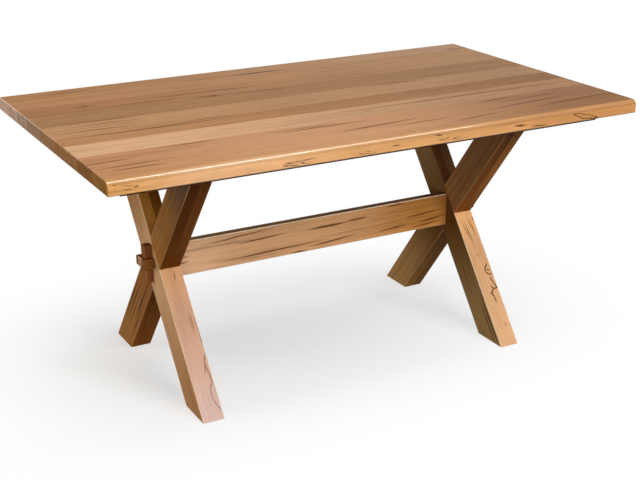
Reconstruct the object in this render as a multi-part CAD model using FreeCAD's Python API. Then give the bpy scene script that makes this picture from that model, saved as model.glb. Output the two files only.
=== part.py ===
import FreeCAD
import Part

import math
import os

from FreeCAD import Vector

# Sawbuck table in millimetres: X along the length, Y from front to back, Z up, floor at Z = 0.

# Glued-up top: the inner boards from front to back, set a little behind the middle of the top
table_height = 762.0
top_length = 1590.0
top_width = 936.0
top_thickness = 38.0
inner_board_widths = [108.0, 110.0, 87.0, 113.0, 120.0, 97.0, 97.0]
inner_boards_offset = 5.0
upper_edge_radius = 15.0
lower_edge_radius = 2.6

# Small rounding of sawn arrises along the grain, and small chamfer of those across it
eased_edge = 3.0
end_chamfer = 1.6

# Shallow sub-frame: long rails glued to the top, end rails tongued into them
rail_depth = 36.0
rail_thickness = 20.0
rail_setback = 95.0
rail_end_inset = 64.0
rail_tongue_length = 10.0
rail_tongue_thickness = 8.0
rail_tongue_shoulder = 8.0

# Cross cleats that carry the top on the two X-frames
cleat_depth = 36.0
cleat_width = 76.0
cleat_end_gap = 3.0

# Crossed legs, each glued up from two layers, placed from the ends and edges of the top and the rails
leg_thickness = 63.0
leg_width = 95.0
toe_setback = 134.0
head_gap = 28.5
leg_setback = 270.0

# Stretcher on edge between the crossings, with a tongue at each end
stretcher_thickness = 28.0
stretcher_height = 102.0

# Through tenon: the tongue, with a cheek glued to each side of it outside the X-frame
tenon_width = 58.0
tenon_height = 28.0
tenon_rise = 8.0
tenon_fit = 0.3

# Tapered key dropped through the tenon outside each X-frame, and the wood left beyond it
key_thickness = 24.0
key_top_width = 25.0
key_foot_width = 21.5
key_length = 112.0
key_below_tenon = 48.0
key_fit = 0.25
key_relish = 9.0

# Screws up through slots in the cleats into the top
screw_diameter = 5.0
screw_head_diameter = 10.0
screw_head_height = 4.0
screw_bite = 25.0
screw_slot_travel = 6.0
screw_offsets = [60.0, 165.0]

# Lag screws down through the cleats into the leg tops
lag_diameter = 8.0
lag_bite = 66.0
lag_head_width = 13.0
lag_head_height = 5.5
lag_washer_diameter = 20.0
lag_washer_thickness = 1.6
lag_pocket_depth = 12.0
lag_pocket_play = 2.0
lag_inset = 20.0
hole_fit = 0.1

# The front and back boards bring the glue-up to the width of the top
inner_joints = [inner_boards_offset - sum(inner_board_widths) / 2]
for width in inner_board_widths:
    inner_joints.append(inner_joints[-1] + width)
board_edges = [-top_width / 2] + inner_joints + [top_width / 2]

top_underside = table_height - top_thickness
rail_face = top_width / 2 - rail_setback
rail_back = rail_face - rail_thickness
rail_low = top_underside - rail_depth
rail_end = top_length / 2 - rail_end_inset
leg_top = top_underside - cleat_depth
frame_outer = top_length / 2 - leg_setback
frame_middle = frame_outer - leg_thickness / 2
frame_inner = frame_outer - leg_thickness

# Lean of a timber of leg_width that spans from its toe on the floor to the far corner of its head
toe_reach = top_width / 2 - toe_setback
head_reach = rail_back - head_gap
leg_span = toe_reach + head_reach
leg_diagonal = math.sqrt(leg_span ** 2 + leg_top ** 2 - leg_width ** 2)
lean = (leg_top * leg_span - leg_width * leg_diagonal) / (leg_top ** 2 - leg_width ** 2)
level_half = leg_width / 2 * math.sqrt(1 + lean ** 2)
crossing_height = (toe_reach - level_half) / lean

tenon_middle = crossing_height + tenon_rise
tenon_z = (tenon_middle - tenon_height / 2, tenon_middle + tenon_height / 2)
tenon_end = frame_outer + key_fit + key_top_width + key_relish
key_foot = tenon_z[0] - key_below_tenon
key_head = key_foot + key_length
tolerance = 1e-6


def block(x_range, y_range, z_range):
    low = Vector(x_range[0], y_range[0], z_range[0])
    size = [r[1] - r[0] for r in (x_range, y_range, z_range)]
    return Part.makeBox(*size, low)


def prism(outline, travel):
    return Part.Face(Part.makePolygon(outline + outline[:1])).extrude(travel)


def post(diameter, x, y, z_range):
    return Part.makeCylinder(diameter / 2, z_range[1] - z_range[0], Vector(x, y, z_range[0]))


def spread(edge, axis):
    values = [getattr(v.Point, axis) for v in edge.Vertexes]
    return max(values) - min(values)


def at(edge, axis, place):
    return all(abs(getattr(v.Point, axis) - place) < tolerance for v in edge.Vertexes)


def ease(shape, radius, chosen):
    return shape.makeFillet(radius, [e for e in shape.Edges if chosen(e)])


def chamfer(shape, size, chosen):
    return shape.makeChamfer(size, [e for e in shape.Edges if chosen(e)])


def mirrored(shape):
    return shape.mirror(Vector(0, 0, 0), Vector(1, 0, 0))


def save(name, shape):
    shape.exportStep("parts/" + name + ".step")


def screw_places(side):
    return [(side * frame_middle, sy * y) for y in screw_offsets for sy in (-1, 1)]


# One lag for each leg, in the layer that runs through the crossing
def lag_place(frame_side, foot_side):
    x = frame_side * frame_middle + foot_side * leg_thickness / 4
    y = head_reach - level_half - lag_inset
    return x, -foot_side * y


def lag_places(frame_side):
    return [lag_place(frame_side, foot_side) for foot_side in (-1, 1)]


def top_board(index):
    front, back = board_edges[index:index + 2]
    board = block((-top_length / 2, top_length / 2), (front, back), (top_underside, table_height))
    outer = [y for y in (front, back) if abs(abs(y) - top_width / 2) < tolerance]
    joints = [y for y in (front, back) if y not in outer]
    for y in outer:
        def long_arris(edge, height):
            return at(edge, "y", y) and at(edge, "z", height) and spread(edge, "x") > top_length / 2

        board = ease(board, upper_edge_radius, lambda e: long_arris(e, table_height))
        board = ease(board, lower_edge_radius, lambda e: long_arris(e, top_underside))

    def end_arris(edge):
        on_end = at(edge, "x", top_length / 2) or at(edge, "x", -top_length / 2)
        return on_end and not any(at(edge, "y", y) for y in joints)

    board = chamfer(board, end_chamfer, end_arris)
    pilot_diameter = screw_diameter + 2 * hole_fit
    pilot_z = (top_underside, top_underside + screw_bite + hole_fit)
    pilots = [post(pilot_diameter, x, y, pilot_z) for x, y in screw_places(-1) + screw_places(1)]
    return board.cut(Part.makeCompound(pilots))


# Tongue of an end rail, and so also its mortise in the long rail on that side
def rail_tongue(side):
    middle = rail_end - rail_thickness / 2
    x_range = (middle - rail_tongue_thickness / 2, middle + rail_tongue_thickness / 2)
    y_range = sorted((side * rail_back, side * (rail_back + rail_tongue_length)))
    z_range = (rail_low + rail_tongue_shoulder, top_underside - rail_tongue_shoulder)
    return block(x_range, y_range, z_range)


def long_rail(side):
    faces = sorted((side * rail_face, side * rail_back))
    rail = block((-rail_end, rail_end), faces, (rail_low, top_underside))
    rail = ease(rail, eased_edge, lambda e: at(e, "z", rail_low) and spread(e, "x") > rail_end)
    return rail.cut(rail_tongue(side)).cut(mirrored(rail_tongue(side)))


def end_rail():
    rail = block((rail_end - rail_thickness, rail_end), (-rail_back, rail_back), (rail_low, top_underside))
    rail = ease(rail, eased_edge, lambda e: at(e, "z", rail_low) and spread(e, "y") > rail_back)
    return rail.multiFuse([rail_tongue(-1), rail_tongue(1)]).removeSplitter()


# Slot through a cleat, so that the top can swell and shrink across its grain
def screw_slot(x, y):
    width = screw_diameter + 2 * hole_fit
    half = screw_slot_travel / 2
    depth = (leg_top, top_underside)
    ends = [post(width, x, y + shift, depth) for shift in (-half, half)]
    return block((x - width / 2, x + width / 2), (y - half, y + half), depth).multiFuse(ends)


def cleat():
    reach = rail_back - cleat_end_gap
    faces = (frame_middle - cleat_width / 2, frame_middle + cleat_width / 2)
    bar = block(faces, (-reach, reach), (leg_top, top_underside))
    bar = ease(bar, eased_edge, lambda e: at(e, "z", leg_top) and spread(e, "y") > reach)
    ways = [screw_slot(x, y) for x, y in screw_places(1)]
    for x, y in lag_places(1):
        ways.append(post(lag_diameter + 2 * hole_fit, x, y, (leg_top, top_underside)))
        pocket_z = (top_underside - lag_pocket_depth, top_underside)
        ways.append(post(lag_washer_diameter + lag_pocket_play, x, y, pocket_z))
    return bar.cut(Part.makeCompound(ways))


# Outline of a leg in its upright plane; foot_side is -1 for a foot at the front, 1 at the back
def leg_outline(foot_side, x):
    foot = foot_side * (toe_reach - level_half)
    head = -foot_side * (head_reach - level_half)
    soles = [(foot - level_half, 0), (foot + level_half, 0)]
    heads = [(head + level_half, leg_top), (head - level_half, leg_top)]
    return [Vector(x, y, z) for y, z in soles + heads]


# Half the thickness of a leg: face_side says which side of the glue plane it lies on
def leg_layer(middle, foot_side, face_side):
    half = leg_thickness / 2
    low = min(middle, middle + face_side * half)
    bar = prism(leg_outline(foot_side, low), Vector(half, 0, 0))
    face = middle + face_side * half
    return ease(bar, eased_edge, lambda e: at(e, "x", face) and spread(e, "z") > tolerance)


# The front-footed leg runs through the crossing on its -X half, the back-footed leg on its +X half
def leg_pieces(frame_side, foot_side):
    middle = frame_side * frame_middle
    half = leg_thickness / 2
    mortise_y = stretcher_thickness / 2 + tenon_fit
    mortise_z = (tenon_z[0] - tenon_fit, tenon_z[1] + tenon_fit)
    mortise = block((middle - half, middle + half), (-mortise_y, mortise_y), mortise_z)
    x, y = lag_place(frame_side, foot_side)
    bore = post(lag_diameter + 2 * hole_fit, x, y, (leg_top - lag_bite - hole_fit, leg_top))
    through = leg_layer(middle, foot_side, foot_side).cut(mortise).cut(bore)
    crossing = prism(leg_outline(-foot_side, middle - half), Vector(leg_thickness, 0, 0))
    outside = leg_layer(middle, foot_side, -foot_side).cut(crossing)
    foot, head = sorted(outside.Solids, key=lambda s: s.CenterOfMass.z)
    return {"through": through, "foot": foot, "head": head}


# Side view of the key, or of the way it drops through when play is given
def key_outline(play, y):
    inner = frame_outer + key_fit
    foot_outer = inner + key_foot_width + play
    head_outer = inner + key_top_width + play
    feet = [(inner - play, key_foot), (foot_outer, key_foot)]
    heads = [(head_outer, key_head), (inner - play, key_head)]
    return [Vector(x, y, z) for x, z in feet + heads]


def key():
    bar = prism(key_outline(0, -key_thickness / 2), Vector(0, key_thickness, 0))
    return chamfer(bar, end_chamfer, lambda e: True)


def key_way():
    half = key_thickness / 2 + key_fit
    return prism(key_outline(key_fit, -half), Vector(0, 2 * half, 0))


def stretcher():
    half = stretcher_thickness / 2
    bar_z = (crossing_height - stretcher_height / 2, crossing_height + stretcher_height / 2)
    bar = block((-frame_inner, frame_inner), (-half, half), bar_z)
    bar = ease(bar, eased_edge, lambda e: spread(e, "x") > frame_inner)
    tongue = block((frame_inner, tenon_end), (-half, half), tenon_z)
    tongue = chamfer(tongue, end_chamfer, lambda e: at(e, "x", tenon_end) and spread(e, "y") > half)
    tongue = tongue.cut(key_way())
    return bar.multiFuse([tongue, mirrored(tongue)]).removeSplitter()


def tenon_cheek(side):
    inner = side * stretcher_thickness / 2
    outer = side * tenon_width / 2
    cheek = block((frame_outer, tenon_end), sorted((inner, outer)), tenon_z)

    def outside(edge):
        glued = at(edge, "y", inner) or at(edge, "x", frame_outer)
        return not glued and (at(edge, "x", tenon_end) or at(edge, "y", outer))

    return chamfer(cheek, end_chamfer, outside).cut(key_way())


def top_screw(x, y):
    head = post(screw_head_diameter, x, y, (leg_top - screw_head_height, leg_top))
    shank = post(screw_diameter, x, y, (leg_top, top_underside + screw_bite))
    return head.fuse(shank).removeSplitter()


def lag_screw(x, y):
    seat = top_underside - lag_pocket_depth + lag_washer_thickness
    radius = lag_head_width / math.sqrt(3)
    turns = [i * math.pi / 3 for i in range(6)]
    corners = [Vector(x + radius * math.cos(t), y + radius * math.sin(t), seat) for t in turns]
    head = prism(corners, Vector(0, 0, lag_head_height))
    return head.fuse(post(lag_diameter, x, y, (leg_top - lag_bite, seat))).removeSplitter()


def lag_washer(x, y):
    seat = top_underside - lag_pocket_depth
    z_range = (seat, seat + lag_washer_thickness)
    return post(lag_washer_diameter, x, y, z_range).cut(post(lag_diameter + 2 * hole_fit, x, y, z_range))


os.makedirs("parts", exist_ok=True)

for index in range(len(board_edges) - 1):
    save("top_board_%d" % (index + 1), top_board(index))

save("front_rail", long_rail(-1))
save("back_rail", long_rail(1))
save("right_end_rail", end_rail())
save("left_end_rail", mirrored(end_rail()))
save("right_cleat", cleat())
save("left_cleat", cleat().translated(Vector(-2 * frame_middle, 0, 0)))

for frame_name, frame_side in (("left", -1), ("right", 1)):
    for foot_name, foot_side in (("front", -1), ("back", 1)):
        for piece, solid in leg_pieces(frame_side, foot_side).items():
            save("%s_%s_leg_%s_layer" % (frame_name, foot_name, piece), solid)

save("stretcher", stretcher())
for cheek_name, cheek_side in (("front", -1), ("back", 1)):
    save("right_%s_tenon_cheek" % cheek_name, tenon_cheek(cheek_side))
    save("left_%s_tenon_cheek" % cheek_name, mirrored(tenon_cheek(cheek_side)))
save("right_key", key())
save("left_key", mirrored(key()))

all_screws = screw_places(-1) + screw_places(1)
all_lags = lag_places(-1) + lag_places(1)
save("top_screws", Part.makeCompound([top_screw(x, y) for x, y in all_screws]))
save("leg_lag_screws", Part.makeCompound([lag_screw(x, y) for x, y in all_lags]))
save("lag_washers", Part.makeCompound([lag_washer(x, y) for x, y in all_lags]))
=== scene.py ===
import math
import bpy
import bmesh
from mathutils import Euler, Matrix, Quaternion, Vector


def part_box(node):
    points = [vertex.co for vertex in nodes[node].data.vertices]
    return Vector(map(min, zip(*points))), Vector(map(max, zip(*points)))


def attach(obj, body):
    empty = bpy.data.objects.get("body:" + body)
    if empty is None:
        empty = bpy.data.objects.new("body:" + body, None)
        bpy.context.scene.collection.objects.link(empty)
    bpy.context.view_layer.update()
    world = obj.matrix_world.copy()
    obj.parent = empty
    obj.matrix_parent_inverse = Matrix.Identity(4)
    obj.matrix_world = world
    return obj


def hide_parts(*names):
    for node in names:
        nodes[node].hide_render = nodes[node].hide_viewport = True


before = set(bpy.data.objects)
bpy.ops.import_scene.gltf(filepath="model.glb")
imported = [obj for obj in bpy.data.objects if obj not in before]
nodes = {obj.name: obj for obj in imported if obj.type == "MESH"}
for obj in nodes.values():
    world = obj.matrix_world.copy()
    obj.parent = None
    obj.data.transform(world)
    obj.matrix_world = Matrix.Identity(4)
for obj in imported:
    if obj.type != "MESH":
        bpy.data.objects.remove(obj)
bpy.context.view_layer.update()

print("frame loaded:", len(nodes), "nodes")

millimetre = 0.001

# Ways that faces look
upwards = (0, 0, 1)
frontwards = (0, -1, 0)
leftwards = (-1, 0, 0)


def paint(red, green, blue):  # screen colour, 0 to 255, to a linear shader colour
    channels = []
    for value in (red, green, blue):
        share = value / 255
        channels.append(share / 12.92 if share <= 0.04045 else ((share + 0.055) / 1.055) ** 2.4)
    return (*channels, 1.0)


def grey(level):
    return (level, level, level, 1.0)


class Wire:  # a node's output, ready for sums
    def __init__(self, tree, socket):
        self.tree = tree
        self.socket = socket

    def node(self, kind, settings, inputs, output=0):
        made = self.tree.nodes.new(kind)
        for key, value in settings.items():
            setattr(made, key, value)
        for key, value in inputs.items():
            if isinstance(value, Wire):
                self.tree.links.new(value.socket, made.inputs[key])
            else:
                made.inputs[key].default_value = value
        return Wire(self.tree, made.outputs[output])

    def maths(self, operation, first, second):
        return self.node("ShaderNodeMath", {"operation": operation}, {0: first, 1: second})

    def __add__(self, other):
        return self.maths("ADD", self, other)

    def __radd__(self, other):
        return self.maths("ADD", other, self)

    def __sub__(self, other):
        return self.maths("SUBTRACT", self, other)

    def __rsub__(self, other):
        return self.maths("SUBTRACT", other, self)

    def __mul__(self, other):
        return self.maths("MULTIPLY", self, other)

    def __rmul__(self, other):
        return self.maths("MULTIPLY", other, self)

    def __truediv__(self, other):
        return self.maths("DIVIDE", self, other)

    def __rtruediv__(self, other):
        return self.maths("DIVIDE", other, self)

    def __or__(self, other):  # whichever is stronger
        return self.maths("MAXIMUM", self, other)

    def __abs__(self):
        return self.maths("ABSOLUTE", self, 0.0)

    def fraction(self):
        return self.maths("FRACT", self, 0.0)

    def vector(self, operation, other=(0.0, 0.0, 0.0), output=0):
        return self.node("ShaderNodeVectorMath", {"operation": operation}, {0: self, 1: other}, output)

    def scaled(self, factors):
        return self.vector("MULTIPLY", factors)

    def length(self):
        return self.vector("LENGTH", output=1)

    def towards(self, direction):
        return self.vector("DOT_PRODUCT", tuple(direction), 1)

    def part(self, axis):
        return self.node("ShaderNodeSeparateXYZ", {}, {0: self}, axis)

    def within(self, middle, turn, size=(1.0, 1.0, 1.0)):  # this place, in a turned and sized frame
        inputs = {"Vector": self, "Location": middle, "Rotation": turn, "Scale": size}
        return self.node("ShaderNodeMapping", {"vector_type": "TEXTURE"}, inputs)

    def fade(self, start, end, low=0.0, high=1.0):  # soft step from low at start to high at end
        limits = {"Value": self, "From Min": start, "From Max": end, "To Min": low, "To Max": high}
        return self.node("ShaderNodeMapRange", {"interpolation_type": "SMOOTHSTEP"}, limits)

    def noise(self, detail, roughness=0.5, output=0):
        inputs = {"Vector": self, "Scale": 1.0, "Detail": detail, "Roughness": roughness}
        return self.node("ShaderNodeTexNoise", {}, inputs, output)

    def blend(self, first, second):  # the first colour where this is 0, the second where it is 1
        return self.node("ShaderNodeMix", {"data_type": "RGBA"}, {0: self, 6: first, 7: second}, 2)

    def tint(self, colour, amount):  # this colour, part way to another
        return amount.blend(self, colour)


def strongest(masks):
    most = masks[0]
    for mask in masks[1:]:
        most = most | mask
    return most


def newFinish(name):
    material = bpy.data.materials.new(name)
    material.use_nodes = True
    tree = material.node_tree
    shader = tree.nodes["Principled BSDF"]
    place = Wire(tree, tree.nodes.new("ShaderNodeTexCoord").outputs["Object"])
    return material, shader, place


def feed(shader, wires):
    for key, wire in wires.items():
        wire.tree.links.new(wire.socket, shader.inputs[key])


# Marks in the wood, as thin lens-shaped bodies that lie in a face of the piece
markSizes = {
    "depth": 0.014,        # how far a mark reaches to each side of its face
    "tips": 0.15,          # added at both ends of a feathered streak, whose tips hardly show
    "overlap": 0.3,        # of the short streaks in a crooked line
    # thin core and soft halo of a feathered streak: share of the width, shade, core
    "feathering": ((0.8, 0.95, 0.35), (2.6, 0.28, 0.0)),
}


def streak(start, end, width, face, shade=0.9, core=0.2):  # places in metres, width in mm
    along = Vector(end) - Vector(start)
    half = along.length / 2
    along.normalize()
    face = Vector(face)
    turn = Matrix((face.cross(along), face, along)).transposed().to_euler()
    middle = (Vector(start) + Vector(end)) / 2
    size = (width * millimetre / 2, markSizes["depth"], half)
    return {"at": middle, "turn": turn, "half": size, "shade": shade, "core": core}


def stretched(start, end, share):
    over = (Vector(end) - Vector(start)) * share
    return Vector(start) - over, Vector(end) + over


def feathered(start, end, width, face):
    start, end = stretched(start, end, markSizes["tips"])
    return [streak(start, end, width * share, face, shade, core)
            for share, shade, core in markSizes["feathering"]]


def crookedLine(points, width, face, core):
    ends = [stretched(start, end, markSizes["overlap"]) for start, end in zip(points, points[1:])]
    return [streak(start, end, width, face, core=core) for start, end in ends]


def markReach(spot, mark):  # 0 in the middle of a mark, 1 on its rim
    return spot.within(mark["at"], mark["turn"], mark["half"]).length()


# Turns that bring a pattern's own Z, the grain, along the piece
alongTable = (0.0, math.pi / 2, 0.0)
acrossTable = (-math.pi / 2, 0.0, 0.0)
upright = (0.0, 0.0, 0.0)

# What any piece of maple has, unless the piece says otherwise
maple = {
    "grain": alongTable,
    "heart": (0.0, 0.0, 0.6),      # a point on the middle of the tree
    "tones": [(-1, (190, 142, 102)), (1, (190, 142, 102))],   # by place along the grain
    "litAndShadedFaceTones": [],               # a direction, and the tones of the face that looks that way: painted light and shade on that face, over the wood's own tone
    "sapAndLightEdge": None,               # where the outer edge lies, on a board with a paler rim: sapwood, with painted light that makes the front face lighter than the top
    "sapAndLightTones": [(-0.78, (230, 170, 104)), (-0.55, (249, 193, 142)),
                 (0.0, (233, 174, 114)), (0.8, (214, 152, 95))],
    "sapAndLightReach": (0.017, 0.009),    # how deep the rim goes, from where it begins to where it is full
    "drift": 0.10,                # broad light and dark patches
    "bands": 0.16,                 # long narrow light and dark bands
    "mottle": 0.14,
    "ringDepth": 0.16,
    "fibreDepth": 0.25,
    "stain": 0.40,                 # brown streaks that nobody placed
    "stainReach": (0.58, 0.70),
    "stainTone": (128, 84, 52),
    "markTone": (88, 54, 32),
    "endDepth": 0.45,              # how far end grain goes over to its own tone
    "endTone": (92, 62, 34),
    "arris": 0.8,                  # how much paler the eased edges are: wear and painted highlight
    "arrisTones": [],              # tones of that wear and painted highlight along the grain, or else just paler than the wood
    "roundPaintedShade": 0.0,             # painted shade: how much darker a round along the grain is made
    "coat": 0.12,                  # extra polish on the eased edges
}

# Patterns in the grain: how fine across and along it, then detail and roughness
grainPatterns = {
    "figure": ((11.0, 11.0, 0.9), 2.0, 0.5),
    "broad": ((13.0, 13.0, 2.6), 3.0, 0.6),
    "band": ((46.0, 46.0, 1.1), 4.0, 0.62),
    "mottle": ((38.0, 38.0, 16.0), 2.0, 0.5),
    "fibre": ((430.0, 430.0, 9.0), 3.0, 0.65),
    "strand": ((140.0, 140.0, 4.0), 3.0, 0.6),
    "patch": ((84.0, 84.0, 2.2), 4.0, 0.6),
    "sway": ((36.0, 36.0, 5.0), 3.0, 0.6),
    "zone": ((62.0, 62.0, 9.0), 2.0, 0.55),
}

# Year rings: their width, how far they taper and wander, and where a ring darkens and stops
rings = {"width": 0.0085, "taper": 0.012, "wander": 0.035, "rise": (0.35, 0.92), "fall": (1.0, 0.94)}

# Where each pattern begins to show and where it is full
grainReach = {
    "darkDrift": (0.60, 0.30), "darkBand": (0.47, 0.30), "paleBand": (0.53, 0.70), "mottle": (0.50, 0.75),
    "fibre": (0.45, 0.75), "strand": (0.52, 0.75), "fray": (-0.05, 0.40), "zonePlace": (1.0, 0.7),
    "endBand": (0.55, 0.35), "endPatch": (0.54, 0.70),
}
zoneLines = ((0.45, (0.024, 0.004)), (0.57, (0.020, 0.004)))   # contours of a slow noise, and their widths
swayReach = 0.009      # how far marks wander
frayDepth = 1.4

# What a tone is multiplied by; round gives painted shade, arris a paler edge of wear and painted highlight
woodShades = {
    "dark": (0.55, 0.50, 0.45),
    "pale": (1.35, 1.38, 1.42),
    "endPatch": (0.45, 0.40, 0.35),
    "round": (0.5, 0.5, 0.45),
    "arris": (1.6, 1.7, 1.8),
}

# How squarely a face has to look one way, from not at all to fully
squareness = {
    "face": (0.9, 0.98), "endGrain": (0.5, 0.8), "eased": (0.985, 0.88),
    "rounded": (1.0, 0.97), "alongGrain": (0.3, 0.1), "acrossGrain": (0.1, 0.3), "upper": (0.2, 0.5),
}

# End grain: its plain depth, what rings and bands add, and how dark its patches are
endGrainDepth = {"plain": 0.75, "ring": 0.2, "band": 0.2, "patch": 0.5}

# Satin clear finish
satin = {"roughness": 0.32, "fibreRoughness": 0.14, "endRoughness": 0.1, "specular": 0.01,
         "coatRoughness": 0.10, "coatIor": 1.4, "bump": 0.10, "bumpDepth": 0.0005,
         "fibreBump": 0.5, "ringBump": 0.5}


def evenTone(tone):
    return [(-1, tone), (1, tone)]


def tonesAlong(place, stops):
    colour = paint(*stops[0][1])
    for (start, _), (end, tone) in zip(stops, stops[1:]):
        colour = place.fade(start, end).blend(colour, paint(*tone))
    return colour


def grainPattern(local, kind, output=0):
    fineness, detail, roughness = grainPatterns[kind]
    return local.scaled(fineness).noise(detail, roughness, output)


def yearRings(local):
    along = local.part(2)
    outwards = local.scaled((1.0, 1.0, 0.0)).length()
    wandering = outwards + along * rings["taper"] + grainPattern(local, "figure") * rings["wander"]
    year = (wandering / rings["width"]).fraction()
    return year.fade(*rings["rise"]) * year.fade(*rings["fall"])


def markMask(spot, local, fibre, streaks, spalts):
    masks = []
    if streaks:
        sway = grainPattern(local, "sway", 1).vector("SUBTRACT", (0.5, 0.5, 0.5)).scaled((swayReach,) * 3)
        swayed = spot.vector("ADD", sway)
        masks += [markReach(swayed, mark).fade(1.0, mark["core"], 0.0, mark["shade"]) for mark in streaks]
    if spalts:  # zone lines, kept to the places given
        field = grainPattern(local, "zone")
        lines = strongest([abs(field - level).fade(*width) for level, width in zoneLines])
        places = [markReach(spot, mark).fade(*grainReach["zonePlace"], 0.0, mark["shade"])
                  for mark in spalts]
        masks.append(strongest(places) * lines)
    marked = strongest(masks)
    frayed = marked + (fibre - 0.5) * frayDepth   # along the fibres
    return marked * frayed.fade(*grainReach["fray"])


def mapleFinish(name, choices, streaks=(), spalts=()):
    cut = {**maple, **choices}
    material, shader, spot = newFinish(name)
    facing = Wire(spot.tree, spot.socket.node.outputs["Normal"])
    local = spot.within(cut["heart"], cut["grain"])
    axes = [Vector(axis) for axis in ((1, 0, 0), (0, 1, 0), (0, 0, 1))]
    for axis in axes:
        axis.rotate(Euler(cut["grain"]))
    band = grainPattern(local, "band")
    mottle = grainPattern(local, "mottle")
    fibre = grainPattern(local, "fibre")
    ring = yearRings(local)

    place = spot.towards(axes[2])
    colour = tonesAlong(place, cut["tones"])
    # paler rim along the outer edge: sapwood and painted light
    if cut["sapAndLightEdge"] is not None:
        inwards = abs(spot.part(1) - cut["sapAndLightEdge"])
        colour = colour.tint(tonesAlong(place, cut["sapAndLightTones"]), inwards.fade(*cut["sapAndLightReach"]))
    # painted light and shade: each face that looks a given way gets its own tones
    for direction, stops in cut["litAndShadedFaceTones"]:
        looking = facing.towards(direction).fade(*squareness["face"])
        colour = colour.tint(tonesAlong(place, stops), looking)

    dark = colour.scaled(woodShades["dark"])
    pale = colour.scaled(woodShades["pale"])
    drift = grainPattern(local, "broad").fade(*grainReach["darkDrift"]) * (2 * cut["drift"])
    strand = grainPattern(local, "strand").fade(*grainReach["strand"]) * cut["fibreDepth"]
    stained = grainPattern(local, "patch").fade(*cut["stainReach"]) * cut["stain"]
    colour = colour.tint(dark, drift)
    colour = colour.tint(dark, band.fade(*grainReach["darkBand"]) * (2 * cut["bands"]))
    colour = colour.tint(pale, band.fade(*grainReach["paleBand"]) * cut["bands"])
    colour = colour.tint(dark, mottle.fade(*grainReach["mottle"]) * cut["mottle"])
    colour = colour.tint(dark, ring * cut["ringDepth"])
    colour = colour.tint(dark, fibre.fade(*grainReach["fibre"]) * cut["fibreDepth"])
    colour = colour.tint(pale, strand)
    colour = colour.tint(paint(*cut["stainTone"]), stained)
    if streaks or spalts:
        colour = colour.tint(paint(*cut["markTone"]), markMask(spot, local, fibre, streaks, spalts))

    square = [abs(facing.towards(axis)) for axis in axes]
    squarest = strongest(square)
    endGrain = square[2].fade(*squareness["endGrain"])
    eased = squarest.fade(*squareness["eased"])
    endBand = band.fade(*grainReach["endBand"]) * endGrainDepth["band"]
    endMask = (endGrainDepth["plain"] + ring * endGrainDepth["ring"] + endBand) * cut["endDepth"]
    endColour = colour.tint(paint(*cut["endTone"]), endMask)
    endPatch = mottle.fade(*grainReach["endPatch"]) * endGrainDepth["patch"]
    endColour = endColour.tint(endColour.scaled(woodShades["endPatch"]), endPatch)
    colour = colour.tint(endColour, endGrain)

    # eased edges made paler: partly wear, partly painted highlight
    wornAndHighlit = eased
    if cut["roundPaintedShade"]:  # then only the upper arrises across the grain get the paler wear and painted highlight
        wornAndHighlit = eased * square[2].fade(*squareness["acrossGrain"]) * square[0].fade(*squareness["upper"])
        # painted shade on the round along the grain, which the lamps light more than the flat face beside
        # it
        rounded = squarest.fade(*squareness["rounded"]) * square[2].fade(*squareness["alongGrain"])
        colour = colour.tint(colour.scaled(woodShades["round"]), rounded * cut["roundPaintedShade"])
    arrisColour = colour.scaled(woodShades["arris"])
    if cut["arrisTones"]:
        arrisColour = tonesAlong(place, cut["arrisTones"])
    colour = colour.tint(arrisColour, wornAndHighlit * cut["arris"])

    height = fibre * satin["fibreBump"] + ring * satin["ringBump"]
    bump = spot.node("ShaderNodeBump", {}, {"Strength": satin["bump"], "Distance": satin["bumpDepth"],
                                            "Height": height})
    roughness = satin["roughness"] + fibre * satin["fibreRoughness"] + endGrain * satin["endRoughness"]
    feed(shader, {"Base Color": colour, "Normal": bump, "Coat Weight": eased * cut["coat"],
                  "Roughness": roughness})
    shader.inputs["Specular IOR Level"].default_value = satin["specular"]
    shader.inputs["Coat Roughness"].default_value = satin["coatRoughness"]
    shader.inputs["Coat IOR"].default_value = satin["coatIor"]
    return material


def dress(node, material):
    nodes[node].material_slots[0].material = material


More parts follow.
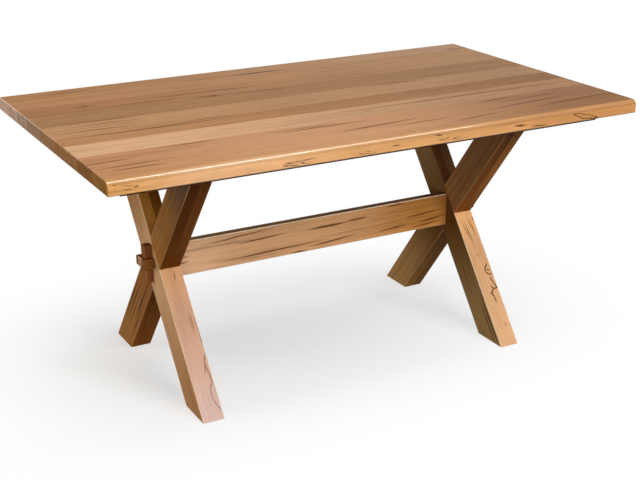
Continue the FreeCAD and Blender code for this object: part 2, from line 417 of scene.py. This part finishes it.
# Glued-up top, board 1 at the front
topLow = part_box("top_board_1")[0]
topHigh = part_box("top_board_9")[1]
topBoards = {
    "ends": (-0.8, 0.8),           # where the tones of the left and right ends hold
    "tones": [(195, 141, 94), (190, 136, 95), (215, 169, 128), (185, 134, 88), (186, 140, 96),
              (166, 122, 79), (165, 115, 73), (180, 129, 87), (170, 122, 76)],
    "farTones": [(139, 98, 61), (145, 103, 70), (163, 123, 88), (142, 102, 67), (162, 125, 91),
                 (149, 111, 76), (168, 129, 93), (169, 129, 92), (175, 138, 107)],
    # of boards whose tones don't go straight from end to end, and where
    "middleTones": {1: (200, 149, 107), 2: (197, 146, 106)},
    "middle": -0.2,
    # end grain of each board, front to back: dark brown at the front, going over to a pale pinkish grey at
    # the back that is painted reflection
    "endTonesWithSheen": [(150, 107, 42), (134, 87, 30), (152, 105, 58), (156, 114, 69), (155, 119, 84),
                 (159, 133, 114), (179, 157, 142), (199, 174, 163), (205, 178, 172)],
    # where the middle of the tree lay: off the middle of the board, and how high
    "hearts": [(0.30, 0.70), (-0.24, 0.86), (0.02, 0.50), (0.18, 0.62), (-0.03, 0.90),
               (0.02, 0.66), (0.16, 0.99), (-0.04, 0.56), (0.20, 0.80)],
    "heartStep": 3.7,              # along the grain from board to board, so that no two are alike
    "wood": {"endDepth": 0.95, "coat": 0.9, "roundPaintedShade": 0.66},
    # streaks on the top: start and end from the left end and from the back edge, then width, in mm
    "streaks": [
        ((90, 57), (275, 52), 12), ((700, 93), (885, 88), 15), ((1490, 84), (1600, 86), 14),
        ((140, 243), (220, 238), 9), ((162, 242), (196, 240), 20), ((330, 240), (725, 250), 13),
        ((240, 277), (475, 273), 10), ((480, 292), (600, 308), 12), ((530, 296), (570, 307), 22),
        ((560, 306), (830, 320), 10), ((40, 408), (290, 408), 9), ((60, 441), (290, 444), 10),
        ((0, 489), (250, 494), 10), ((0, 545), (510, 548), 12), ((340, 530), (610, 519), 10),
        ((1000, 412), (1190, 424), 9), ((720, 648), (1600, 652), 10), ((190, 731), (375, 733), 8),
        ((530, 757), (785, 752), 9), ((500, 742), (720, 739), 7), ((680, 822), (945, 800), 12),
        ((810, 843), (1030, 838), 9), ((-60, 788), (130, 784), 10), ((0, 838), (245, 826), 10),
        ((40, 862), (190, 863), 9), ((980, 880), (1190, 856), 10), ((1160, 740), (1335, 732), 11),
        ((1240, 760), (1485, 752), 11), ((1110, 824), (1510, 788), 12), ((1290, 858), (1640, 826), 12),
        ((1380, 718), (1620, 714), 10),
    ],
    # zone lines, smudges and streaks on the front edge: start and end from the left end and
    # down from the top, then width, in mm
    "edgeSpalts": [((440, 27), (560, 28), 18), ((665, 28), (725, 32), 12), ((900, 26), (1010, 31), 15)],
    "edgeSmudges": [((5, 16), (110, 22), 20), ((430, 26), (580, 26), 26), ((900, 22), (1050, 28), 24),
                    ((1150, 24), (1300, 28), 20), ((1368, 19), (1452, 33), 16)],
    "smudgeShade": 0.16,
    "edgeStreaks": [((10, 11), (27, 10), 4), ((60, 23), (79, 20), 6), ((34, 26), (62, 26), 3),
                    ((26, 12), (68, 20), 2), ((446, 31), (490, 24), 2.5), ((488, 23), (560, 22), 2.5),
                    ((450, 34), (505, 31), 3), ((760, 22), (800, 24), 5), ((893, 11), (930, 17), 9),
                    ((1146, 20), (1208, 25), 8), ((1168, 22), (1190, 24), 10), ((1202, 30), (1284, 31), 4),
                    ((1222, 29), (1246, 30), 6)],
    # outline of the knot near the right end, as two lines, in the same way
    "knot": [[(1358, 15), (1374, 14), (1388, 16), (1405, 20), (1422, 25), (1436, 30), (1449, 36)],
             [(1366, 17), (1374, 21), (1383, 25), (1391, 30), (1405, 32), (1418, 33), (1431, 35),
              (1449, 36)]],
    "knotLine": 4.0,
    "knotCore": 0.5,
    # rounds and chamfers of the two outer boards
    "upperRound": 0.015,
    "upperSteps": 12,
    "lowerRound": 0.0026,
    "lowerSteps": 3,
    "chamfer": 0.0016,
    "endLoop": 0.004,              # a loop this far from each end keeps the shading of the rounds straight
}


def onTop(point):
    return (topLow.x + point[0] * millimetre, topHigh.y - point[1] * millimetre, topHigh.z)


def onFrontEdge(point):
    return (topLow.x + point[0] * millimetre, topLow.y, topHigh.z - point[1] * millimetre)


def frontEdgeMarks():
    def mark(start, end, width, *shades):
        return streak(onFrontEdge(start), onFrontEdge(end), width, frontwards, *shades)

    streaks = [mark(*place) for place in topBoards["edgeStreaks"]]
    for line in topBoards["knot"]:
        points = [onFrontEdge(point) for point in line]
        streaks += crookedLine(points, topBoards["knotLine"], frontwards, topBoards["knotCore"])
    streaks += [mark(*place, topBoards["smudgeShade"], 0.0) for place in topBoards["edgeSmudges"]]
    return streaks, [mark(*place) for place in topBoards["edgeSpalts"]]


def lying(edge, axis, place):
    return all(abs(vert.co[axis] - place) < 1e-5 for vert in edge.verts)


def easeEdges(board, edges, size, steps, smooth):
    made = bmesh.ops.bevel(board, geom=edges, offset=size, offset_type="OFFSET", segments=steps,
                           profile=0.5, affect="EDGES", material=-1)
    for face in made["faces"]:
        face.smooth = smooth


# An outer board with a finer round than the frame's facets
def roundedBoard(name, node, outer, material):
    low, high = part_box(node)
    board = bmesh.new()
    bmesh.ops.create_cube(board, size=1.0)
    bmesh.ops.scale(board, vec=high - low, verts=board.verts)
    bmesh.ops.translate(board, vec=(low + high) / 2, verts=board.verts)
    for level, side in ((high.z, "upper"), (low.z, "lower")):
        arris = [edge for edge in board.edges if lying(edge, 1, outer) and lying(edge, 2, level)]
        easeEdges(board, arris, topBoards[f"{side}Round"], topBoards[f"{side}Steps"], True)
    joint = low.y + high.y - outer
    ends = [edge for edge in board.edges if not lying(edge, 1, joint)
            and (lying(edge, 0, low.x) or lying(edge, 0, high.x))]
    easeEdges(board, ends, topBoards["chamfer"], 1, False)
    for place in (low.x + topBoards["endLoop"], high.x - topBoards["endLoop"]):
        bmesh.ops.bisect_plane(board, geom=board.verts[:] + board.edges[:] + board.faces[:],
                               plane_co=(place, 0, 0), plane_no=(1, 0, 0))
    mesh = bpy.data.meshes.new(name)
    board.to_mesh(mesh)
    board.free()
    mesh.materials.append(material)
    piece = bpy.data.objects.new(name, mesh)
    bpy.context.scene.collection.objects.link(piece)
    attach(piece, "table")
    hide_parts(node)


for index in range(9):
    number = index + 1
    node = f"top_board_{number}"
    low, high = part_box(node)
    streaks, spalts = frontEdgeMarks() if number == 1 else ([], [])
    for start, end, width in topBoards["streaks"]:
        marks = feathered(onTop(start), onTop(end), width, upwards)
        if low.y <= marks[0]["at"].y < high.y:
            streaks += marks
    tones = list(zip(topBoards["ends"], (topBoards["tones"][index], topBoards["farTones"][index])))
    if number in topBoards["middleTones"]:
        tones.insert(1, (topBoards["middle"], topBoards["middleTones"][number]))
    aside, heartHeight = topBoards["hearts"][index]
    heart = (topBoards["heartStep"] * number, (low.y + high.y) / 2 + aside, heartHeight)
    choices = {**topBoards["wood"], "tones": tones, "endTone": topBoards["endTonesWithSheen"][index], "heart": heart,
               "sapAndLightEdge": {1: low.y, 9: high.y}.get(number)}
    finish = mapleFinish(f"topMaple{number}", choices, streaks, spalts)
    dress(node, finish)
    if number == 1:
        roundedBoard("front_board", node, low.y, finish)
    if number == 9:
        roundedBoard("back_board", node, high.y, finish)
print("top dressed")

# Shallow sub-frame and cleats
subFrame = {
    # painted shade: the rails and cleats made dark brown, as they lie in the shadow of the top
    "tone": (108, 64, 36),
    "arris": 0.1,
    "grains": {"front_rail": alongTable, "back_rail": alongTable, "left_end_rail": acrossTable,
               "right_end_rail": acrossTable, "left_cleat": acrossTable, "right_cleat": acrossTable},
}
for node, grain in subFrame["grains"].items():
    choices = {"grain": grain, "tones": evenTone(subFrame["tone"]), "arris": subFrame["arris"]}
    dress(node, mapleFinish(f"{node}Maple", choices))
print("sub-frame dressed")

# Crossed legs: their lean is worked out from the box of a whole layer
legWidth = 0.095
legLow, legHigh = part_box("left_front_leg_through_layer")
span = legHigh.y - legLow.y
rise = legHigh.z - legLow.z
diagonal = math.sqrt(span ** 2 + rise ** 2 - legWidth ** 2)
lean = (rise * span - legWidth * diagonal) / (rise ** 2 - legWidth ** 2)
leanAngle = math.atan(lean)
levelHalf = legWidth / 2 * math.sqrt(1 + lean ** 2)
crossing = (-legLow.y - levelHalf) / lean

# Down a leg and out of its upper face, by where its foot stands
downFront = Vector((0, -math.sin(leanAngle), -math.cos(leanAngle)))
downBack = Vector((0, math.sin(leanAngle), -math.cos(leanAngle)))
overFront = Vector((0, -math.cos(leanAngle), math.sin(leanAngle)))
overBack = Vector((0, math.cos(leanAngle), math.sin(leanAngle)))

legs = {
    "turns": {"front": (-leanAngle, 0.0, 0.0), "back": (leanAngle, 0.0, 0.0)},
    "frontFaces": {"front": overFront, "back": -overBack},   # the face that looks to the front
    "stops": (-0.15, 0.25, 0.55),      # foot, crossing and head, along the leg
    "frontStops": (-0.17, -0.05, 0.09, 0.24, 0.33),   # five places from the foot to above the crossing
    "headStops": (0.30, 0.47, 0.68),   # three places on a head layer
    # tones of the faces towards the front, with painted shade: darker and warmer on the undersides of the
    # back-footed legs and on the faces under the top
    "tones": {
        "left_front_leg_through": [(232, 195, 180), (226, 182, 157), (214, 166, 134), (221, 165, 119),
                                   (218, 150, 65)],
        "left_front_leg_foot": [(232, 195, 180), (226, 182, 157), (214, 166, 134), (221, 165, 119),
                                (221, 165, 119)],
        "left_front_leg_head": [(170, 108, 44), (170, 108, 44), (130, 78, 26)],
        "left_back_leg_through": [(146, 84, 22), (112, 62, 16), (130, 76, 30)],
        "left_back_leg_foot": [(170, 98, 20), (134, 78, 18), (134, 78, 18)],
        "left_back_leg_head": [(124, 72, 20), (124, 72, 20), (104, 56, 14)],
        "right_front_leg_through": [(240, 187, 139), (232, 180, 131), (228, 174, 124), (244, 184, 126),
                                    (142, 86, 49)],
        "right_front_leg_foot": [(240, 187, 139), (232, 180, 131), (228, 174, 124), (244, 184, 126),
                                 (244, 184, 126)],
        "right_front_leg_head": [(150, 108, 66), (150, 108, 66), (150, 108, 66)],
        "right_back_leg_through": [(150, 104, 44), (130, 80, 30), (190, 122, 56)],
        "right_back_leg_foot": [(186, 132, 54), (136, 92, 38), (136, 92, 38)],
        "right_back_leg_head": [(158, 94, 32), (158, 94, 32), (139, 83, 28)],
    },
    # tones of the faces towards -X, of the layers that have such a face in view, with painted light and
    # shade: darker under the top and by the crossing of the right frame, lighter on the right back foot
    "litAndShadedSideTones": {
        "left_front_leg_through": [(212, 156, 106), (236, 190, 146), (182, 136, 78)],
        "left_back_leg_foot": [(178, 124, 56), (156, 97, 26), (156, 97, 26)],
        "left_back_leg_head": [(182, 130, 68), (156, 105, 42), (96, 68, 42)],
        "right_front_leg_through": [(210, 170, 110), (126, 86, 38), (166, 132, 90)],
        "right_back_leg_foot": [(221, 172, 112), (116, 76, 34), (116, 76, 34)],
        "right_back_leg_head": [(184, 133, 80), (165, 119, 76), (157, 114, 75)],
    },
    "plainTones": {"front": (206, 156, 108), "back": (176, 126, 80)},   # of every other face
    "grainDepth": {"left_front": 0.06, "left_back": 0.35, "right_front": 0.10, "right_back": 0.25},
    "bandShare": 0.7,
    "wood": {"stainTone": (64, 38, 16), "stainReach": (0.52, 0.64), "ringDepth": 0.10, "fibreDepth": 0.18,
             "arris": 0.35, "markTone": (64, 38, 20)},
    # eased edges of the front-footed legs below their heads: cream wear and painted highlight, and on the
    # right leg painted shade above the crossing
    "arris": 0.85,
    "arrisTones": {"left": evenTone((252, 226, 192)),
                   "right": [(0.22, (252, 226, 192)), (0.28, (126, 90, 58))]},
    # the middle of the tree, moved along the grain from frame to frame and from layer to layer
    "heart": (0.08, 0.11, 5.0),
    "frameStep": 12.0,
    "layerHearts": {"through": (0.03, 0.02, 0.7), "foot": (0.03, 0.02, 1.9), "head": (0.03, 0.02, 3.1)},
    # marks on the upper front face below the crossing: across from the left arris and down from
    # the crossing, then width, in mm
    "left_front_streaks": [((40, 4), (35, 50), 4), ((60, 130), (61, 260), 3)],
    "right_front_streaks": [((8, 4), (30, 120), 4), ((19, 4), (38, 154), 4), ((42, 12), (49, 92), 4),
                            ((33, 5), (42, 70), 3), ((56, 20), (57, 34), 7), ((30, 130), (37, 165), 3),
                            ((43, 366), (44, 390), 4)],
    "left_front_smudges": [((46, 120), (50, 210), 20)],
    "right_front_smudges": [((40, 250), (36, 290), 20)],
    "left_front_lines": [[(58, 260), (51, 286), (54, 312), (55, 338), (44, 359), (45, 383), (53, 408),
                          (63, 418)], [(50, 288), (44, 313)]],
    "right_front_lines": [[(51, 180), (40, 192), (38, 206), (47, 216), (57, 214)],
                          [(46, 226), (52, 244), (59, 261)], [(60, 258), (48, 264), (38, 251)],
                          [(46, 262), (32, 274), (39, 286), (39, 304)], [(44, 196), (52, 204)]],
    "lineWidth": {"left": 2.2, "right": 5.0},
    "lineCore": 0.6,
    # marks on the faces towards -X: back from the front arris and down from the crossing, in mm
    "left_front_side": [((22, -320), (26, -90), 5), ((44, -300), (50, -60), 5), ((70, -310), (74, -120), 6),
                        ((60, 40), (66, 260), 4), ((30, 300), (36, 430), 4)],
    "right_front_side": [((14, 230), (8, 480), 14), ((30, 250), (22, 470), 9), ((50, 60), (58, 300), 4),
                         ((70, 320), (62, 450), 5)],
    # the same on a back-footed leg: in from its upper arris and down from the crossing
    "left_back_side": [((12, 70), (15, 430), 10), ((30, 60), (26, 400), 12), ((47, 90), (43, 430), 8),
                       ((63, 60), (67, 320), 14), ((80, 140), (77, 400), 9)],
    "shades": {"streaks": 0.85, "smudges": 0.28, "side": 0.75, "backSide": 0.9},
    "backCore": 0.1,
}


def onFrontLeg(side, point):
    crotch = Vector((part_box(f"{side}_front_leg_through_layer")[0].x, -levelHalf, crossing))
    return crotch + Vector((point[0] * millimetre, 0, 0)) + downFront * (point[1] * millimetre)


def onFrontLegSide(side, point):
    return onFrontLeg(side, (0, point[1])) - overFront * (point[0] * millimetre)


def onBackLegSide(side, point):
    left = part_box(f"{side}_back_leg_foot_layer")[0].x
    upperArris = Vector((left, 0, crossing)) + overBack * (legWidth / 2)
    return upperArris - overBack * (point[0] * millimetre) + downBack * (point[1] * millimetre)


def frontLegMarks(side):
    marks = []
    for kind, place, face in (("streaks", onFrontLeg, overFront), ("smudges", onFrontLeg, overFront),
                              ("side", onFrontLegSide, leftwards)):
        for start, end, width in legs[f"{side}_front_{kind}"]:
            marks.append(streak(place(side, start), place(side, end), width, face, legs["shades"][kind]))
    for line in legs[f"{side}_front_lines"]:
        points = [onFrontLeg(side, point) for point in line]
        marks += crookedLine(points, legs["lineWidth"][side], overFront, legs["lineCore"])
    return marks


def backLegMarks(side):
    return [streak(onBackLegSide(side, start), onBackLegSide(side, end), width, leftwards,
                   legs["shades"]["backSide"], legs["backCore"])
            for start, end, width in legs[f"{side}_back_side"]]


def legFinish(side, foot, layer):
    name = f"{side}_{foot}_leg_{layer}"
    tones = legs["tones"][name]
    stops = legs["frontStops"] if len(tones) == len(legs["frontStops"]) else legs["stops"]
    litAndShadedFaceTones = [(legs["frontFaces"][foot], list(zip(stops, tones)))]
    if name in legs["litAndShadedSideTones"]:
        sideStops = legs["headStops"] if layer == "head" else legs["stops"]
        litAndShadedFaceTones.append((leftwards, list(zip(sideStops, legs["litAndShadedSideTones"][name]))))
    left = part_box(f"{side}_{foot}_leg_through_layer")[0].x
    heart = Vector(legs["heart"]) + Vector((left, 0, legs["frameStep"] * left))
    depth = legs["grainDepth"][f"{side}_{foot}"]
    choices = {**legs["wood"], "grain": legs["turns"][foot], "tones": evenTone(legs["plainTones"][foot]),
               "litAndShadedFaceTones": litAndShadedFaceTones, "bands": depth * legs["bandShare"], "stain": depth}
    marks = ()
    if foot == "front" and layer != "head":
        marks = frontLegMarks(side)
        choices.update({"heart": heart, "arris": legs["arris"], "arrisTones": legs["arrisTones"][side]})
    else:
        choices["heart"] = heart + Vector(legs["layerHearts"][layer])
    if name == "left_back_leg_foot":
        marks = backLegMarks(side)
    return mapleFinish(f"{name}Maple", choices, marks)


for side in ("left", "right"):
    for foot in ("front", "back"):
        for layer in ("through", "foot", "head"):
            dress(f"{side}_{foot}_leg_{layer}_layer", legFinish(side, foot, layer))
print("legs dressed")

# Stretcher with its cheeks and keys
stretcherLow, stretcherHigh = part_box("stretcher")
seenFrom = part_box("left_front_leg_foot_layer")[1].x
stretcher = {
    # painted shade: the upper face darker, as it lies in the shadow of the top
    "shadedUpperTones": [(-0.2, (162, 114, 60)), (0.05, (138, 92, 46)), (0.38, (124, 80, 40))],
    "wood": {"tones": [(-0.45, (238, 190, 148)), (-0.2, (223, 171, 125)),
                       (0.05, (226, 170, 119)), (0.38, (196, 133, 67))],
             "heart": (2.2, 0.06, 0.30), "bands": 0.22, "markTone": (104, 60, 28),
             # cream eased edges: wear and painted highlight
             "arris": 0.9, "arrisTones": evenTone((255, 236, 208))},
    # streaks on the front: start and end from the left X-frame and down from the top, then width, in mm
    "streaks": [((70, 23), (345, 6), 6), ((190, 37), (355, 30), 8), ((425, 36), (570, 32), 11),
                ((560, 29), (640, 27), 9), ((145, 82), (480, 73), 9), ((430, 86), (600, 77), 8),
                ((670, 84), (780, 76), 8), ((770, 54), (905, 49), 9), ((815, 77), (920, 68), 11),
                ((370, 97), (425, 97), 7), ((700, 8), (770, 7), 8), ((-20, 49), (48, 46), 8),
                ((-20, 68), (48, 60), 8), ((790, 92), (905, 84), 9)],
    "spalts": [((700, 20), (760, 80), 60), ((560, 50), (610, 60), 30)],
    "spaltShade": 0.25,
}


def onStretcher(point):
    return (seenFrom + point[0] * millimetre, stretcherLow.y, stretcherHigh.z - point[1] * millimetre)


streaks = []
for start, end, width in stretcher["streaks"]:
    streaks += feathered(onStretcher(start), onStretcher(end), width, frontwards)
spalts = [streak(onStretcher(start), onStretcher(end), width, frontwards, stretcher["spaltShade"])
          for start, end, width in stretcher["spalts"]]
choices = {**stretcher["wood"], "litAndShadedFaceTones": [(upwards, stretcher["shadedUpperTones"])]}
dress("stretcher", mapleFinish("stretcherMaple", choices, streaks, spalts))

cheek = {"tones": evenTone((139, 90, 41)), "heart": (4.1, 0.02, 0.42)}
key = {"tones": evenTone((143, 92, 48)), "heart": (0.1, 0.03, 1.0), "grain": upright}
cheekFinish = mapleFinish("cheekMaple", cheek)
for side in ("left", "right"):
    for face in ("front", "back"):
        dress(f"{side}_{face}_tenon_cheek", cheekFinish)
    dress(f"{side}_key", mapleFinish(f"{side}KeyMaple", key))
print("stretcher and keys dressed")

# Zinc plated screws and washers
zinc = {"dark": (176, 178, 176), "pale": (206, 206, 200), "fineness": (900.0, 900.0, 900.0), "detail": 3.0,
        "roughness": 0.28, "cloudRoughness": 0.2}
steel, steelShader, spot = newFinish("zincSteel")
cloud = spot.scaled(zinc["fineness"]).noise(zinc["detail"])
feed(steelShader, {"Base Color": cloud.blend(paint(*zinc["dark"]), paint(*zinc["pale"])),
                   "Roughness": zinc["roughness"] + cloud * zinc["cloudRoughness"]})
steelShader.inputs["Metallic"].default_value = 1.0
for node in ("top_screws", "leg_lag_screws", "lag_washers"):
    dress(node, steel)
print("steel dressed")

# Floor: pale, with the table's soft shadow, going over to plain white away from the table
floorSizes = {
    "half": 14.0,
    "middle": (-0.16, 0.095, 0.0),     # of the shadow
    "squeeze": (0.91, 1.83, 0.0),
    "shadowReach": (0.0, 1.55),
    "shade": 0.55,                     # grey of the floor as it is seen
    "lift": 0.452,                     # glow that brings it up to a pale floor
    "bounce": 0.12,                    # grey of the floor as it lights the table
}
floorMesh = bpy.data.meshes.new("floor")
grid = bmesh.new()
bmesh.ops.create_grid(grid, x_segments=1, y_segments=1, size=floorSizes["half"])
grid.to_mesh(floorMesh)
grid.free()
floor = bpy.data.objects.new("floor", floorMesh)
bpy.context.scene.collection.objects.link(floor)


def seenRays(tree):  # 1 where the camera or a reflection looks, 0 for light that bounces
    path = tree.nodes.new("ShaderNodeLightPath")
    rays = [Wire(tree, path.outputs[f"Is {kind} Ray"]) for kind in ("Camera", "Glossy", "Transmission")]
    return strongest(rays)


floorPaint = bpy.data.materials.new("paleFloor")
floorPaint.use_nodes = True
tree = floorPaint.node_tree
tree.nodes.remove(tree.nodes["Principled BSDF"])
spot = Wire(tree, tree.nodes.new("ShaderNodeTexCoord").outputs["Object"])
seen = seenRays(tree)
away = spot.vector("SUBTRACT", floorSizes["middle"]).scaled(floorSizes["squeeze"]).length()
shown = seen.blend(grey(floorSizes["bounce"]), grey(floorSizes["shade"]))
lit = spot.node("ShaderNodeBsdfDiffuse", {}, {"Color": shown})
glow = spot.node("ShaderNodeEmission", {}, {"Strength": seen * floorSizes["lift"]})
near = spot.node("ShaderNodeAddShader", {}, {0: lit, 1: glow})
plain = spot.node("ShaderNodeEmission", {}, {"Strength": seen})
mixed = spot.node("ShaderNodeMixShader", {}, {0: away.fade(*floorSizes["shadowReach"]), 1: near, 2: plain})
tree.links.new(mixed.socket, tree.nodes["Material Output"].inputs["Surface"])
floorMesh.materials.append(floorPaint)

# White surroundings for what the camera and reflections see, grey light for the rest
ambient = 0.10
world = bpy.data.worlds.new("studio")
bpy.context.scene.world = world
world.use_nodes = True
background = world.node_tree.nodes["Background"]
feed(background, {"Strength": seenRays(world.node_tree).fade(0.0, 1.0, ambient, 1.0)})
background.inputs["Color"].default_value = grey(1.0)

# Soft boxes: where each stands, what it points at, its width and height, its power and its colour
lamps = {
    "keyBox": ((1.2, -4.5, 3.25), (0.0, 0.0, 0.45), (3.6, 2.0), 225.0, (1.0, 1.0, 1.0)),
    "frontFill": ((-2.0, -2.7, 0.5), (-0.2, 0.0, 0.5), (1.6, 0.7), 24.0, (1.0, 1.0, 1.0)),
    "topBox": ((0.1, 0.3, 5.0), (0.1, 0.3, 0.0), (4.4, 3.6), 135.0, (1.0, 1.0, 1.0)),
    "strip": ((0.3, -1.12, 3.05), (0.3, -0.47, 0.76), (1.4, 0.8), 90.0, (1.0, 0.93, 0.95)),
    "stripEnd": ((1.45, -1.12, 3.05), (1.45, -0.47, 0.76), (0.9, 0.8), 40.0, (1.0, 0.93, 0.95)),
    "sideBox": ((-2.0, 0.6, 0.6), (-0.5, 0.0, 0.4), (1.2, 1.0), 11.0, (1.0, 0.87, 0.68)),
    "farBox": ((2.5, 0.5, 0.7), (0.6, 0.0, 0.45), (1.2, 1.0), 9.0, (1.0, 0.95, 0.88)),
}
for name, (stand, aim, size, power, colour) in lamps.items():
    lamp = bpy.data.lights.new(name, "AREA")
    lamp.shape = "RECTANGLE"
    lamp.size, lamp.size_y = size
    lamp.energy = power
    lamp.color = colour
    holder = bpy.data.objects.new(name, lamp)
    holder.location = stand
    holder.rotation_mode = "QUATERNION"
    holder.rotation_quaternion = (Vector(aim) - Vector(stand)).to_track_quat("-Z", "Y")
    holder.visible_camera = False
    holder.visible_glossy = name.startswith("strip")   # the strips only draw the line of light on the round
    holder.visible_diffuse = not holder.visible_glossy
    bpy.context.scene.collection.objects.link(holder)

# Camera where the photograph was taken from, angles in radians
shot = {"from": (-1.65330, -3.05892, 1.61964), "heading": 0.4994, "dip": 0.3566, "roll": -0.0025,
        "lens": 69.3, "sensor": 36.0}
lens = bpy.data.cameras.new("camera")
lens.lens = shot["lens"]
lens.sensor_width = shot["sensor"]
lens.sensor_fit = "HORIZONTAL"
camera = bpy.data.objects.new("camera", lens)
camera.location = shot["from"]
sight = Vector((math.sin(shot["heading"]) * math.cos(shot["dip"]),
                math.cos(shot["heading"]) * math.cos(shot["dip"]), -math.sin(shot["dip"])))
camera.rotation_mode = "QUATERNION"
camera.rotation_quaternion = sight.to_track_quat("-Z", "Y") @ Quaternion(upwards, shot["roll"])
bpy.context.scene.collection.objects.link(camera)
bpy.context.scene.camera = camera
bpy.context.scene.view_settings.view_transform = "Standard"
print("stage set")
